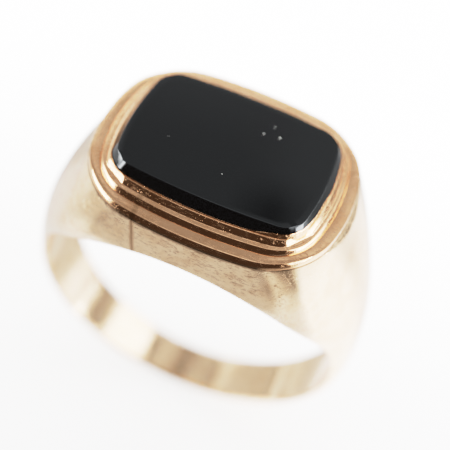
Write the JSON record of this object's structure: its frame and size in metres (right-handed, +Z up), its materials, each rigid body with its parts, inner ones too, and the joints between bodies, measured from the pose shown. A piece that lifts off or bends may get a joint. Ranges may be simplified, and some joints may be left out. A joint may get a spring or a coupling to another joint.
{
  "type": "signet ring",
  "caption": "Signet ring: tapered band with broad shoulders, stepped cushion frame and rubbed-over rim holding a bevelled black onyx.",
  "frame": {"origin": "centre of the finger hole, on the finger's axis and midway across the head", "axes": "+X along the long side of the stone, round the finger; +Y along the finger; +Z up through the middle of the stone"},
  "size_m": [0.0216, 0.0124, 0.0243],
  "materials": {
    "gold_polished": "polished 9 carat yellow gold with a rosy cast and fine wear",
    "gold_satin": "9 carat gold, worn satin with scratches and pits",
    "gold_solder": "dark filled solder line",
    "cement": "matt setting cement",
    "onyx": "polished black onyx"
  },
  "bodies": {
    "root": {"shank": "gold_polished", "front_plate_left": "gold_satin", "front_plate_right": "gold_satin", "front_plate_solder": "gold_solder", "back_plate": "gold_satin", "finger_plate": "gold_polished", "frame_plate": "gold_polished", "step_wire": "gold_polished", "collet": "gold_polished", "bearing": "gold_satin", "setting_cement": "cement", "onyx": "onyx"}
  },
  "joints": []
}
